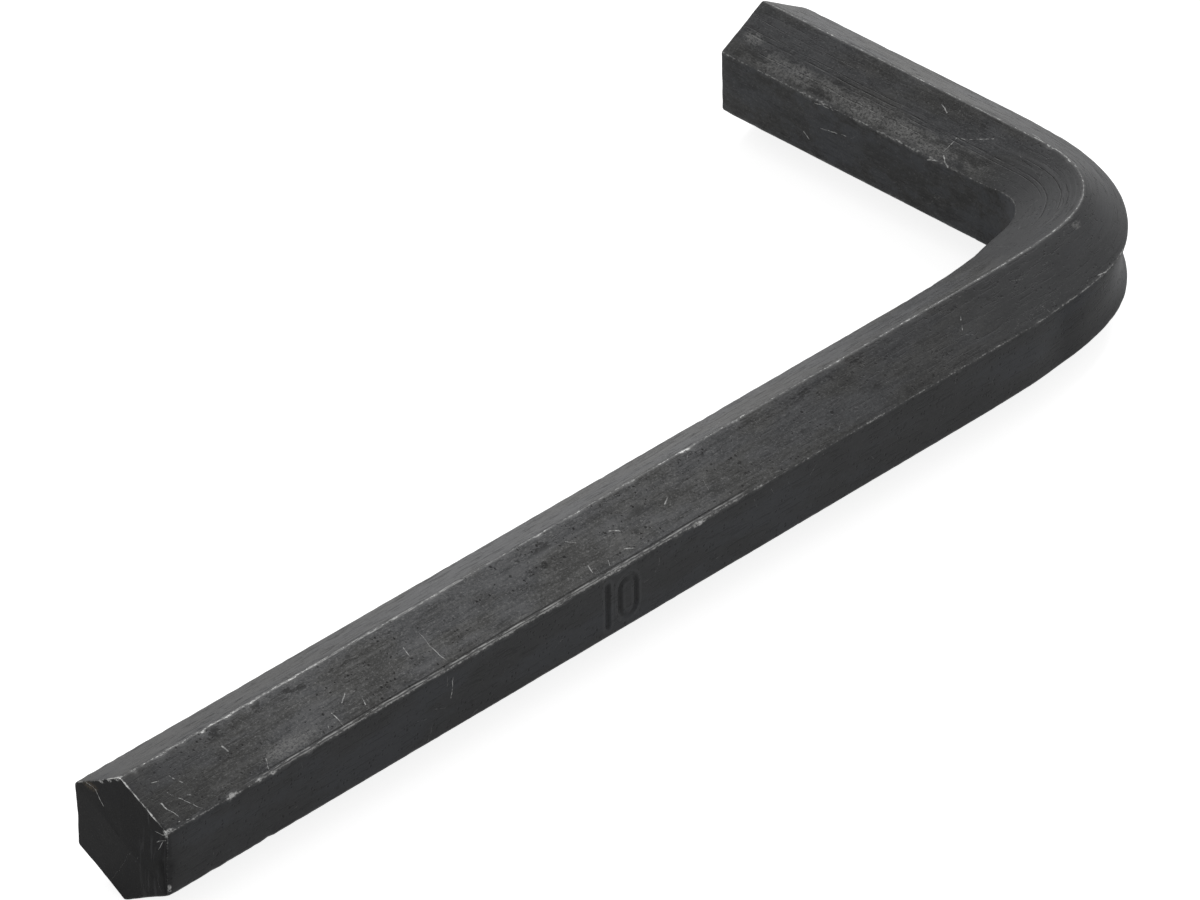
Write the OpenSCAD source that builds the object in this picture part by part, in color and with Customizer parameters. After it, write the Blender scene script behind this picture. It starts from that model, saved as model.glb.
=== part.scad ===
// Hex key: one length of hexagonal bar with a single right-angle bend.
// The key lies flat on the ridge along its underside, the way it comes to rest on a bench.
// The long arm runs along +X to the elbow, and the short arm runs along +Y from the elbow.
// The origin is on the bench, under the middle of the key's overall length and width.

/* [Bar] */
// Distance across the flats of the bar
across_flats = 10; // [6:0.5:14]
// Radius worn and drawn on the six long corners of the bar
corner_r = 0.35; // [0.1:0.05:0.8]

/* [Arms] */
// Overall length, from the long tip to the outer flat of the short arm
long_len = 118; // [90:0.5:160]
// Overall width, from the outer flat of the long arm to the short tip
short_len = 47.5; // [42:0.5:70]
// Width of the broken edge round each cut tip
tip_break = 0.3; // [0.1:0.05:0.8]

/* [Bend] */
// Radius of the inner flat round the bend, before the bar is squeezed
inside_r = 8.4; // [6:0.1:12]
// Straight stretch beside the bend that still shows the squeeze
lead_len = 4.6; // [3:0.1:8]
// How far the inner flat is squeezed outward at the middle of the bend
inner_squeeze = 0.95; // [0:0.05:1.2]
// How far the inner side piles up where the bar enters the bend
inner_bulge = 0.65; // [0:0.05:1]
// Distance from the start of the bend to the middle of that bulge
bulge_at = 5.6; // [3:0.1:8]
// How much further the top and bottom ridges lean outward at mid-bend
ridge_lean = 0.7; // [0:0.05:1]
// How far the outer flat is dished at the middle of the bend
outer_dish = 0.4; // [0:0.05:0.8]
// How much taller the inner side swells, as a share of its height
side_swell = 0.13; // [0:0.01:0.2]
// How far the outer corners are drawn in where the bar enters and leaves the bend
neck_in = 0.45; // [0:0.05:0.8]
// Distance from each end of the bend to the middle of its drawn-in neck
neck_at = 2; // [0:0.1:4]
// How far the squeeze sits towards the short arm: 1 is the middle
squeeze_skew = 1.1; // [0.9:0.05:1.3]

/* [Hidden] */

// Number of steps round one rounded corner, across one flat, and along the bend
CORNER_STEPS = 3;
FLAT_STEPS = 4;
BEND_STEPS = 38;
// A full bend, in degrees
BEND_ANGLE = 90;

half_flats = across_flats / 2;
corner_reach = half_flats / cos(30);
// Height of the bar's axis above the bench: the bottom ridge is a rounded corner
axis_height = corner_reach - corner_r * (1 / cos(30) - 1);
bend_r = inside_r + half_flats;
bend_len = bend_r * PI * BEND_ANGLE / 180;
// Each neck dies out at the start of its lead
neck_reach = lead_len + neck_at;
// The bulge starts with the lead
bulge_reach = bulge_at + lead_len;
sweep_len = bend_len + 2 * lead_len;
// Lengths of the two arms that stay exactly straight
long_straight = long_len - half_flats - bend_r - lead_len;
short_straight = short_len - half_flats - bend_r - lead_len;

// Section of the bar as points of [outward, upward], from the outer upper corner round the top
function corner_point(index, step) =
    let (towards = 30 + 60 * index,
         turn = towards - 30 + 60 * step / CORNER_STEPS,
         reach = corner_reach - corner_r / cos(30))
    [reach * cos(towards) + corner_r * cos(turn),
     reach * sin(towards) + corner_r * sin(turn)];

function flat_point(index, step) =
    let (from = corner_point(index, CORNER_STEPS),
         to = corner_point(index + 1, 0))
    from + (to - from) * step / FLAT_STEPS;

section = [
    for (index = [0:5]) each concat(
        [for (step = [0:CORNER_STEPS]) corner_point(index, step)],
        [for (step = [1:FLAT_STEPS - 1]) flat_point(index, step)])
];

// How strongly the bar is squeezed at a distance along the sweep: 0 on the arms, 1 near mid-bend
function squeeze(along) =
    let (share = min(1, max(0, (along - lead_len) / bend_len)))
    pow(sin(180 * pow(share, squeeze_skew)), 2);

// A smooth hump, 1 at its middle and 0 from its reach outwards
function hump(distance, reach) =
    abs(distance) < reach ? pow(cos(90 * distance / reach), 2) : 0;

function neck(along) =
    hump(along - lead_len - neck_at, neck_reach)
    + hump(sweep_len - lead_len - neck_at - along, neck_reach);

// How far the inner side alone stands outward of the squeezed section
function inner_shift(along) =
    -inner_bulge * hump(along - lead_len - bulge_at, bulge_reach);

// The section squeezed by the bend: the inner side is pushed outward and swells,
// the ridges lean outward, and the outer flat narrows, is drawn in and is dished
function squeezed(point, along) =
    let (amount = squeeze(along),
         across = (point[0] + half_flats) / across_flats,
         height = point[1] / corner_reach,
         to_ridge = min(1, abs(point[1]) / (corner_reach / 2)),
         pushed = inner_squeeze * (1 - across * across) + ridge_lean * height * height,
         dished = (outer_dish * (1 - to_ridge * to_ridge) + ridge_lean / 4) * pow(across, 8),
         drawn = neck_in * pow(across, 3) * neck(along),
         inner = inner_shift(along) * pow(1 - across, 3))
    [point[0] + amount * (pushed - dished) - drawn + inner,
     point[1] * (1 - amount * side_swell * point[0] / half_flats)];

// The point of the bar's axis and the outward direction at a distance along the sweep
function turned(along) =
    BEND_ANGLE * min(1, max(0, (along - lead_len) / bend_len));

function past_ends(along) =
    min(0, along - lead_len) + max(0, along - lead_len - bend_len);

// Places a section point: the bend's centre is up the short arm and back along the long arm
function placed(point, along) =
    let (angle = turned(along),
         radius = bend_r + point[0],
         beyond = past_ends(along))
    [radius * sin(angle) - bend_r + beyond * cos(angle),
     bend_r - radius * cos(angle) + beyond * sin(angle),
     point[1]];

module bar_length(length) {
    linear_extrude(length) polygon(section);
}

// Cuts the broken edge of one flat, all round a tip that faces down at the origin
module tip_edges() {
    for (side = [0:5])
        rotate(60 * side)
            translate([half_flats - tip_break, 0, 0])
                rotate([0, -45, 0])
                    translate([0, -across_flats, -across_flats])
                        cube([across_flats, 2 * across_flats, across_flats]);
}

module arm(length) {
    difference() {
        bar_length(length);
        tip_edges();
    }
}

module bend() {
    count = len(section);
    rings = [
        for (ring = [0:BEND_STEPS])
            let (along = sweep_len * ring / BEND_STEPS)
            for (point = section) placed(squeezed(point, along), along)
    ];
    sides = [
        for (ring = [0:BEND_STEPS - 1])
            for (index = [0:count - 1])
                let (next = (index + 1) % count,
                     low = ring * count,
                     high = low + count)
                each [[low + index, low + next, high + next],
                      [low + index, high + next, high + index]]
    ];
    axis_ends = [placed([0, 0], 0), placed([0, 0], sweep_len)];
    first_axis = len(rings);
    caps = [
        for (index = [0:count - 1])
            let (next = (index + 1) % count,
                 last_ring = BEND_STEPS * count)
            each [[first_axis, next, index],
                  [first_axis + 1, last_ring + index, last_ring + next]]
    ];
    polyhedron(concat(rings, axis_ends), concat(sides, caps), convexity = 6);
}

module hex_key() {
    color([0.24, 0.24, 0.25])
        translate([long_len / 2 - half_flats, half_flats - short_len / 2, axis_height]) {
            bend();
            // Long arm: its outward side faces -Y
            translate([half_flats - long_len, 0, 0])
                multmatrix([[0, 0, 1, 0], [-1, 0, 0, 0], [0, 1, 0, 0]])
                    arm(long_straight);
            // Short arm: its outward side faces +X
            translate([0, short_len - half_flats, 0])
                multmatrix([[1, 0, 0, 0], [0, 0, -1, 0], [0, 1, 0, 0]])
                    arm(short_straight);
        }
}

hex_key();
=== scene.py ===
# %% [markdown]
# A hex key is one length of hexagonal steel bar with a right-angle bend, blackened all over.
# This lesson takes the plain model of the key, keeps its size and its place, and gives it the
# rounded ridges, the squeezed bend, the sheared ends, the stamped number and the worn black finish
# of a real one. It starts by loading the plain model as a fixed frame and by keeping its box.

# %% Load the frame
import math
from functools import partial
import bmesh
import bpy
import numpy as np
from mathutils import Matrix, Vector, noise


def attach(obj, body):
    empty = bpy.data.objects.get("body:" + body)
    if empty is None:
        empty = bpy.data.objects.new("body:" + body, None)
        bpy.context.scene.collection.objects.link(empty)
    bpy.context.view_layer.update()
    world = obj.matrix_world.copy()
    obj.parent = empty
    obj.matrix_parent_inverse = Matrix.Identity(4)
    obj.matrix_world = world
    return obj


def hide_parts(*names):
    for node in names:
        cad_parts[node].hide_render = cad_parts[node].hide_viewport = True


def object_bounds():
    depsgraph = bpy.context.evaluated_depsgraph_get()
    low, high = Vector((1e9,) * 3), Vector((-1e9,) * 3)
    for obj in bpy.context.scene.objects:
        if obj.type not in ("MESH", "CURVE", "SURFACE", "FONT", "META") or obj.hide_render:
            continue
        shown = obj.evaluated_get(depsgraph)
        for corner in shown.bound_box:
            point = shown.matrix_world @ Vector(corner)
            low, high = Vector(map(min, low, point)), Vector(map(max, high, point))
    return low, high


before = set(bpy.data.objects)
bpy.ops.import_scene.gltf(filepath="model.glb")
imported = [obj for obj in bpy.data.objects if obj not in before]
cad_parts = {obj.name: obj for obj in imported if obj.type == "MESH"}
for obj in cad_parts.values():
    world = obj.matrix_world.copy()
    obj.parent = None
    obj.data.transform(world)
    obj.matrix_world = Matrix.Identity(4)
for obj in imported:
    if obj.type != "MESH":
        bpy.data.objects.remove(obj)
cad_low, cad_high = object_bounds()
print("box of the plain model, mm:", [round(1000 * v, 2) for v in (*cad_low, *cad_high)])

# %% [markdown]
# Every size below is in metres and belongs to the object, not to the picture. The bar is 10 mm across
# its flats. It lies on the ridge along its underside, with the long arm along X and the short arm
# along Y, and the middle of the whole key is over the origin.

# %% Sizes of the bar
MM = 0.001
ACROSS_FLATS = 10 * MM
RIDGE_ROUND = 0.35 * MM
LONG_LENGTH = 118 * MM
SHORT_LENGTH = 47.5 * MM
INSIDE_BEND = 8.4 * MM

# half the angle between two neighbouring ridges, as seen from the middle of the bar
HALF_CORNER = math.radians(30)
# closer than this is the same place
NEARLY = 0.01 * MM

HALF_FLATS = ACROSS_FLATS / 2
RIDGE_REACH = HALF_FLATS / math.cos(HALF_CORNER)
SIDE = RIDGE_REACH
AXIS_HEIGHT = RIDGE_REACH - RIDGE_ROUND * (1 / math.cos(HALF_CORNER) - 1)
BEND_RADIUS = INSIDE_BEND + HALF_FLATS
BEND_RUN = BEND_RADIUS * math.pi / 2

LONG_AXIS_Y = HALF_FLATS - SHORT_LENGTH / 2
SHORT_AXIS_X = LONG_LENGTH / 2 - HALF_FLATS
LONG_TIP_X = -LONG_LENGTH / 2
SHORT_TIP_Y = SHORT_LENGTH / 2
BEND_X = SHORT_AXIS_X - BEND_RADIUS
BEND_Y = LONG_AXIS_Y + BEND_RADIUS
LONG_RUN = BEND_X - LONG_TIP_X
SHORT_RUN = SHORT_TIP_Y - BEND_Y
BAR_RUN = LONG_RUN + BEND_RUN + SHORT_RUN
print("length of bar along its middle, mm:", round(BAR_RUN / MM, 2))

# %% [markdown]
# The camera comes first, because it decides how much detail is worth making. It looks down at the key
# from its long end, from far away through a long lens, so the arms hardly taper, and it is rolled by
# about one degree.

# %% Camera
CAMERA_AROUND = math.radians(-44.4007)
CAMERA_UP = math.radians(34.109)
CAMERA_ROLL = math.radians(-1.1845)
CAMERA_FAR = 813.312 * MM
CAMERA_AIM = Vector((2.9041, -7.9636, 5.7194)) * MM
CAMERA_LENS = 307.10
SENSOR_WIDTH = 36
NEAREST_SEEN = 0.01
FARTHEST_SEEN = 20

back = Vector((
    math.sin(CAMERA_AROUND) * math.cos(CAMERA_UP),
    -math.cos(CAMERA_AROUND) * math.cos(CAMERA_UP),
    math.sin(CAMERA_UP),
))
level = back.to_track_quat("Z", "Y").to_matrix()
right = level.col[0] * math.cos(CAMERA_ROLL) + level.col[1] * math.sin(CAMERA_ROLL)
bpy.ops.object.camera_add(location=CAMERA_AIM + back * CAMERA_FAR)
camera = bpy.context.object
camera.name = "camera"
camera.rotation_mode = "QUATERNION"
camera.rotation_quaternion = Matrix((right, back.cross(right), back)).transposed().to_quaternion()
camera.data.sensor_width = SENSOR_WIDTH
camera.data.lens = CAMERA_LENS
camera.data.clip_start = NEAREST_SEEN
camera.data.clip_end = FARTHEST_SEEN
bpy.context.scene.camera = camera
print("camera stands at, mm:", [round(v / MM, 1) for v in camera.location])

# %% [markdown]
# Each step on the mesh first picks the points, edges or faces that it works on. Two helpers do that.

# %% Small helpers for edit mode
def pick(obj, kind, test):
    """Selects the points, edges or faces that pass a test, and nothing else. Gives their number."""
    bpy.ops.mesh.select_mode(type=kind)
    bpy.ops.mesh.select_all(action="DESELECT")
    mesh = bmesh.from_edit_mesh(obj.data)
    parts = {"VERT": mesh.verts, "EDGE": mesh.edges, "FACE": mesh.faces}[kind]
    count = 0
    for part in parts:
        if test(part):
            part.select_set(True)
            count += 1
    mesh.select_flush_mode()
    bmesh.update_edit_mesh(obj.data)
    return count


def runs_along(edge, way, shortest):
    """Says whether an edge runs along a direction and is at least so long."""
    line = edge.verts[1].co - edge.verts[0].co
    return line.length > shortest and abs(line.normalized().dot(way)) > 0.999


# %% [markdown]
# The bar starts as its own section: a six-cornered circle that stands on edge at the tip of the long
# arm. Bevelling its corners gives the small round that a drawn bar has along its ridges, and cutting
# its sides into short steps gives the flats enough points to be dished, dented and stamped later on.

# %% The section
RIDGE_STEPS = 4
FLAT_STEPS = 16

bpy.ops.object.select_all(action="DESELECT")
bpy.ops.mesh.primitive_circle_add(
    vertices=6,
    radius=RIDGE_REACH,
    fill_type="NGON",
    location=(LONG_TIP_X, LONG_AXIS_Y, AXIS_HEIGHT),
    rotation=(math.pi / 2, 0, math.pi / 2),
)
bar = bpy.context.object
bar.name = "blackened_bar"
bpy.ops.object.transform_apply(location=True, rotation=True, scale=True)
bpy.ops.object.mode_set(mode="EDIT")
bpy.ops.mesh.select_mode(type="VERT")
bpy.ops.mesh.select_all(action="SELECT")
bpy.ops.mesh.bevel(
    affect="VERTICES",
    offset_type="OFFSET",
    offset=RIDGE_ROUND * math.tan(HALF_CORNER),
    segments=RIDGE_STEPS,
    profile=0.5,
)
pick(bar, "FACE", lambda face: True)
bpy.ops.mesh.delete(type="ONLY_FACE")
pick(bar, "EDGE", lambda edge: edge.calc_length() > SIDE / 2)
bpy.ops.mesh.subdivide(number_cuts=FLAT_STEPS - 1)
print("points round the section:", len(bmesh.from_edit_mesh(bar.data).verts))

# %% [markdown]
# The section is drawn out into the long arm, spun through the right angle round the middle of the
# bend, and drawn out again into the short arm. Each stretch is cut into short steps, closest together
# near the tips, where the shearing left most of its marks.

# %% Draw out the two arms and spin the bend
def draw_out(obj, move, steps):
    """Extrudes the selected open ring, cuts the new stretch into even steps, and selects its far ring."""
    way = Vector(move).normalized()
    far = Vector(move).length
    mesh = bmesh.from_edit_mesh(obj.data)
    start = max(vert.co.dot(way) for vert in mesh.verts if vert.select)
    bpy.ops.mesh.extrude_region_move(TRANSFORM_OT_translate={"value": move})
    nearly_all = 0.9 * far
    pick(obj, "EDGE", lambda edge: runs_along(edge, way, nearly_all)
         and max(vert.co.dot(way) for vert in edge.verts) > start + nearly_all)
    bpy.ops.mesh.subdivide(number_cuts=steps - 1)
    pick(obj, "VERT", lambda vert: vert.co.dot(way) > start + far - NEARLY)


# length in millimetres and number of steps of each stretch
LONG_STRETCHES = (
    (0.6, 8), (1.4, 9), (8, 30), (LONG_RUN / MM - 80, 34), (20, 80), (20, 76), (20, 70), (10, 34),
)
BEND_STEPS = 96
SHORT_STRETCHES = ((10, 32), (SHORT_RUN / MM - 12.6, 52), (2, 10), (0.6, 8))

bpy.ops.mesh.select_all(action="SELECT")
for run, steps in LONG_STRETCHES:
    draw_out(bar, (run * MM, 0, 0), steps)
bpy.ops.mesh.spin(steps=BEND_STEPS, angle=math.pi / 2, center=(BEND_X, BEND_Y, 0), axis=(0, 0, -1))
pick(bar, "VERT", lambda vert: vert.co.x > BEND_X + MM and vert.co.y > BEND_Y - NEARLY)
for run, steps in SHORT_STRETCHES:
    draw_out(bar, (0, run * MM, 0), steps)
print("points in the open tube:", len(bmesh.from_edit_mesh(bar.data).verts))

# %% [markdown]
# The number that is stamped into the long arm needs finer points than the rest of the flat. Only the
# faces under it are cut smaller, so the rest of the bar stays light.

# %% Finer faces under the stamped number
# two corners of the box round the number
STAMP_LOW = Vector((-13.4, -23.8, 2.7)) * MM
STAMP_HIGH = Vector((-7.6, -23.7, 8.7)) * MM


def under_stamp(face):
    middle = face.calc_center_median()
    return all(low < value < high for low, value, high in zip(STAMP_LOW, middle, STAMP_HIGH))


STAMP_CUTS = 3
stamped_faces = pick(bar, "FACE", under_stamp)
bpy.ops.mesh.subdivide(number_cuts=STAMP_CUTS)
print("faces cut finer under the number:", stamped_faces)

# %% [markdown]
# Both ends are still open. Each one is closed by drawing its ring of edges inwards in steps, close
# together at the rim and wider towards the middle, and by merging the last small ring to one point.

# %% Close the two ends
# distance of each ring from the rim, in millimetres
END_STEPS = (0.06, 0.14, 0.24, 0.36, 0.5, 0.7, 0.95, 1.25, 1.6, 2.0, 2.45, 2.95, 3.5, 4.1, 4.6)
wall_points = len(bmesh.from_edit_mesh(bar.data).verts)


def close_end(obj, at_tip, middle):
    """Draws the open ring at a tip inwards, step by step, and merges the last ring in the middle."""
    pick(obj, "VERT", at_tip)
    size = 1.0
    for inset in END_STEPS:
        new_size = 1 - inset * MM / HALF_FLATS
        factor = new_size / size
        bpy.ops.mesh.extrude_region_move(TRANSFORM_OT_translate={"value": (0, 0, 0)})
        bpy.ops.transform.resize(value=(factor, factor, factor), center_override=middle)
        size = new_size
    bpy.ops.mesh.extrude_region_move(TRANSFORM_OT_translate={"value": (0, 0, 0)})
    bpy.ops.mesh.merge(type="CENTER")


close_end(bar, lambda vert: vert.co.x < LONG_TIP_X + NEARLY, (LONG_TIP_X, LONG_AXIS_Y, AXIS_HEIGHT))
close_end(bar, lambda vert: vert.co.y > SHORT_TIP_Y - NEARLY, (SHORT_AXIS_X, SHORT_TIP_Y, AXIS_HEIGHT))
bpy.ops.mesh.select_all(action="SELECT")
bpy.ops.mesh.normals_make_consistent(inside=False)
closed = bmesh.from_edit_mesh(bar.data)
print("open edges:", sum(1 for edge in closed.edges if not edge.is_manifold))
print("volume, cm3:", round(closed.calc_volume() * 1e6, 3), "triangles:", len(closed.calc_loop_triangles()))
bpy.ops.object.mode_set(mode="OBJECT")

# %% [markdown]
# From here on each point is known by three lengths in millimetres: its run along the middle of the
# bar from the long tip, and how far outwards and upwards of that middle it lies. In these lengths the
# bar is straight, which makes it easy to work on.

# %% Run, outward and upward of each point
def straighten(points):
    """Gives the run, outward and upward lengths of points on the bent bar, in millimetres."""
    # seen from the middle of the bend, the long arm lies on one side and the short arm on the other
    turn_x = points[:, 0] - BEND_X
    turn_y = points[:, 1] - BEND_Y
    angle = np.arctan2(turn_x, -turn_y)
    run = LONG_RUN + angle * BEND_RADIUS
    outward = np.hypot(turn_x, turn_y) - BEND_RADIUS
    on_long = turn_x <= 0
    on_short = ~on_long & (turn_y >= 0)
    run[on_long] = points[on_long, 0] - LONG_TIP_X
    outward[on_long] = LONG_AXIS_Y - points[on_long, 1]
    run[on_short] = LONG_RUN + BEND_RUN + turn_y[on_short]
    outward[on_short] = points[on_short, 0] - SHORT_AXIS_X
    return run / MM, outward / MM, (points[:, 2] - AXIS_HEIGHT) / MM


points = np.empty(len(bar.data.vertices) * 3)
bar.data.vertices.foreach_get("co", points)
points = points.reshape(-1, 3)
run, outward, upward = straighten(points)
print("run from", run.min().round(3), "to", run.max().round(3), "mm")

# %% [markdown]
# A fourth length goes round the section, from 0 on the top ridge, positive down the outer side and
# negative down the inner side. Flats and ridges are numbered along it: flat 0 is the upper outer one,
# flat -1 the upper inner one, and ridge 0 is the top ridge. Points on the two ends also get their
# distance from the rim.

# %% Place round the section
side_mm = SIDE / MM
half_mm = HALF_FLATS / MM
round_mm = RIDGE_ROUND / MM
full_mm = BAR_RUN / MM
# direction and number of each flat
FLAT_ANGLES = np.radians((60, 0, -60, 120, 180, 240))
FLAT_ORDER = np.array((0, 1, 2, -1, -2, -3))


def round_the_section(outward, upward):
    """Gives the length round the section, the gap to the nearest ridge, and the outward normal."""
    reach = outward[:, None] * np.cos(FLAT_ANGLES) + upward[:, None] * np.sin(FLAT_ANGLES)
    flat = reach.argmax(axis=1)
    angle = FLAT_ANGLES[flat]
    across = outward * np.sin(angle) - upward * np.cos(angle)
    size = np.maximum(reach.max(axis=1) / half_mm, 0.001)
    corner = np.sign(across) * HALF_CORNER
    ridge_middle = (side_mm - round_mm / math.cos(HALF_CORNER)) * size
    from_ridge_out = outward - ridge_middle * np.cos(angle - corner)
    from_ridge_up = upward - ridge_middle * np.sin(angle - corner)
    tangent = round_mm * math.tan(HALF_CORNER)
    straight_half = side_mm / 2 - tangent
    on_round = np.abs(across) > straight_half * size * 1.0001
    lean = np.arctan2(from_ridge_up, from_ridge_out)
    normal_angle = np.where(on_round, lean, angle)
    turned = np.abs((normal_angle - angle + math.pi) % (2 * math.pi) - math.pi)
    across_round = np.sign(across) * (straight_half + tangent * np.minimum(turned / HALF_CORNER, 1))
    across = np.where(on_round, across_round, across)
    around = side_mm * (FLAT_ORDER[flat] + 0.5) + across
    gap = side_mm / 2 - np.abs(across)
    return around, np.maximum(gap, 0), np.cos(normal_angle), np.sin(normal_angle)


around, ridge_gap, normal_out, normal_up = round_the_section(outward, upward)
on_end = np.arange(len(run)) >= wall_points
point_angle = np.arctan2(upward, outward)
point_reach = np.hypot(outward, upward)
rim = np.flatnonzero((run < 0.001) & ~on_end)
rim = rim[point_angle[rim].argsort()]
outline_reach = np.interp(point_angle, point_angle[rim], point_reach[rim], period=2 * math.pi)
end_inset = np.where(on_end, half_mm * np.maximum(1 - point_reach / outline_reach, 0), 0)
print("round the section from", around.min().round(2), "to", around.max().round(2), "mm;",
      "widest inset", end_inset.max().round(2), "mm; points on the ends:", on_end.sum())

# %% [markdown]
# A drawn bar is never quite even. A low, slow swell over all flats keeps the reflections alive, and
# small dents, longest along the bar, lie where the ridges knocked against other tools. Pushing the
# points in along their normals makes both, while the bar is still straight.

# %% Smooth noise and soft bumps
def swell(along, across, seed):
    """Smooth noise from -1 to 1 over the bar, with its own scale along and across it."""
    places = np.column_stack((run * along + seed, outward * across + seed * 0.7, upward * across - seed))
    return np.array([noise.noise(Vector(place)) for place in places])


def bell(value, reach):
    """A soft bump that is 1 in the middle and 0 at its reach."""
    share = np.clip(np.abs(value) / reach, 0, 1)
    return (1 - share * share) ** 2


print("a bump at half its reach:", bell(0.5, 1))

# %% [markdown]
# The dents that can be made out have their own places. Sixteen smaller ones on each ridge lie anywhere.

# %% Unevenness and knocked ridges
# run, reach along the bar and depth of the dents in each ridge, by its number round the section
RIDGE_DENTS = {
    0: (
        (1.6, 0.5, 0.08), (4.4, 0.9, 0.09), (6.6, 0.6, 0.06), (8.6, 0.6, 0.10), (11.3, 0.8, 0.08),
        (13.8, 1.0, 0.07), (17.9, 1.2, 0.06), (20.7, 0.8, 0.05), (33.0, 1.4, 0.05), (44.4, 0.6, 0.07),
        (48.5, 1.1, 0.05), (54.5, 0.9, 0.08), (61.2, 1.2, 0.07), (66.3, 0.8, 0.06), (78.0, 0.7, 0.05),
        (114.2, 0.5, 0.04), (116.6, 0.6, 0.06),
    ),
    1: (
        (3.3, 0.6, 0.05), (7.2, 1.0, 0.08), (9.9, 0.6, 0.07), (11.3, 0.5, 0.05), (15.1, 0.6, 0.04),
        (41.8, 1.3, 0.04), (48.3, 1.5, 0.05), (50.7, 0.6, 0.06), (57.2, 0.8, 0.05), (60.4, 0.7, 0.06),
        (103.6, 0.4, 0.05),
    ),
    -1: (
        (125.0, 0.4, 0.06), (129.7, 0.7, 0.05), (133.7, 0.8, 0.06), (138.1, 0.7, 0.05),
        (142.8, 0.6, 0.05),
    ),
}
SMALL_DENTS = 16
DENT_HALF_WIDE = 0.75
SLOW_SWELL = 0.016
FINE_SWELL = 0.006
# how deep the ridges are battered all over, how much deeper at the long tip, and as far as where
BATTERED = 0.018
BATTERED_TIP = 0.030
BATTERED_RUN = 30
# a dent of this depth is worn bare
BARE_DENT = 0.07

rng = np.random.default_rng(8)
dents = [(ridge, *dent) for ridge, row in RIDGE_DENTS.items() for dent in row]
for ridge in range(-2, 4):
    for place in rng.uniform(2, full_mm - 2, SMALL_DENTS):
        dents.append((ridge, place, rng.uniform(0.3, 0.7), rng.uniform(0.01, 0.03)))

push_in = SLOW_SWELL * swell(0.16, 0.3, 3.1) + FINE_SWELL * swell(0.7, 1.1, 8.4)
rough_ridge = np.clip(0.5 + 0.9 * swell(1.4, 0.4, 5.7), 0, 1) * bell(ridge_gap, 0.55)
battered = BATTERED + BATTERED_TIP * np.clip(1 - run / BATTERED_RUN, 0, 1)
push_in = push_in + battered * rough_ridge
knocked = np.zeros(len(run))
for ridge, place, reach, depth in dents:
    off_ridge = (around - ridge * side_mm + 3 * side_mm) % (6 * side_mm) - 3 * side_mm
    dent = bell(run - place, reach) * bell(off_ridge, DENT_HALF_WIDE)
    dent[on_end] = 0
    push_in = push_in + depth * dent
    knocked = np.maximum(knocked, dent * min(1, depth / BARE_DENT))
push_in[on_end] = 0
print("deepest dent, mm:", push_in.max().round(3), "highest swell, mm:", (-push_in.min()).round(3))

# %% [markdown]
# The number is one plain size in millimetres, pressed in cold with a punch: a stroke and a long ring,
# each a soft groove with a low rim where the steel rose beside it. Every point measures its distance
# to the strokes and sinks by a smooth curve of that distance. The ring is pressed in less than the
# straight stroke, and least at its top and foot.

# %% Stamped number
ONE_HALF = 0.34
RING_HALF = 0.31
STROKE_DEPTH = 0.19
ONE_RUN = 46.95
ONE_LEAN = 0.04
ONE_TOP = 1.85
ONE_FOOT = -1.9
ZERO_RUN = 49.2
ZERO_UP = -0.05
ZERO_HALF_WIDE = 0.88
ZERO_SPINE_HALF = 0.87
RING_LEAST = 0.45
RISE_HIGH = 0.035
RISE_HALF = 0.24
# from the middle of a stroke to the top of its rim
ONE_TO_RISE = 0.50
RING_TO_RISE = 0.47


def to_segment(x, y, x0, y0, x1, y1):
    """Distance from points to a straight stroke."""
    length = max((x1 - x0) ** 2 + (y1 - y0) ** 2, 1e-9)
    share = np.clip(((x - x0) * (x1 - x0) + (y - y0) * (y1 - y0)) / length, 0, 1)
    return np.hypot(x - x0 - share * (x1 - x0), y - y0 - share * (y1 - y0))


one = to_segment(run, upward, ONE_RUN, ONE_FOOT, ONE_RUN + ONE_LEAN, ONE_TOP)
ring_low = ZERO_UP - ZERO_SPINE_HALF
ring_high = ZERO_UP + ZERO_SPINE_HALF
zero_spine = to_segment(run, upward, ZERO_RUN, ring_low, ZERO_RUN, ring_high)
zero = np.abs(zero_spine - ZERO_HALF_WIDE)
on_stamped_flat = (around > side_mm) & (around < 2 * side_mm) & ~on_end & (run < 60)
ring_side = np.clip(np.abs(run - ZERO_RUN) / ZERO_HALF_WIDE, 0, 1) ** 2
ring_weight = RING_LEAST * (1 + ring_side)
pressed = np.maximum(bell(one, ONE_HALF), bell(zero, RING_HALF) * ring_weight)
pressed = np.where(on_stamped_flat, pressed, 0)
rim_rise = bell(zero - RING_TO_RISE, RISE_HALF) * ring_weight
rim_rise = np.maximum(bell(one - ONE_TO_RISE, RISE_HALF), rim_rise)
rim_rise = np.where(on_stamped_flat, rim_rise * np.clip(1 - 2 * pressed, 0, 1), 0)
push_in = push_in + STROKE_DEPTH * pressed - RISE_HIGH * rim_rise
print("points in the number:", int((pressed > 0.05).sum()))

outward = outward - push_in * normal_out
upward = upward - push_in * normal_up

# %% [markdown]
# The bar was sheared to length, so its ends aren't clean cuts. The blade dragged the outer side over
# into a soft roll, left a thin bright burr along the upper outer edge, and set the whole face a little
# out of square. First, points near a rim are laid on a small arc whose radius changes round the
# section.

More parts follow.
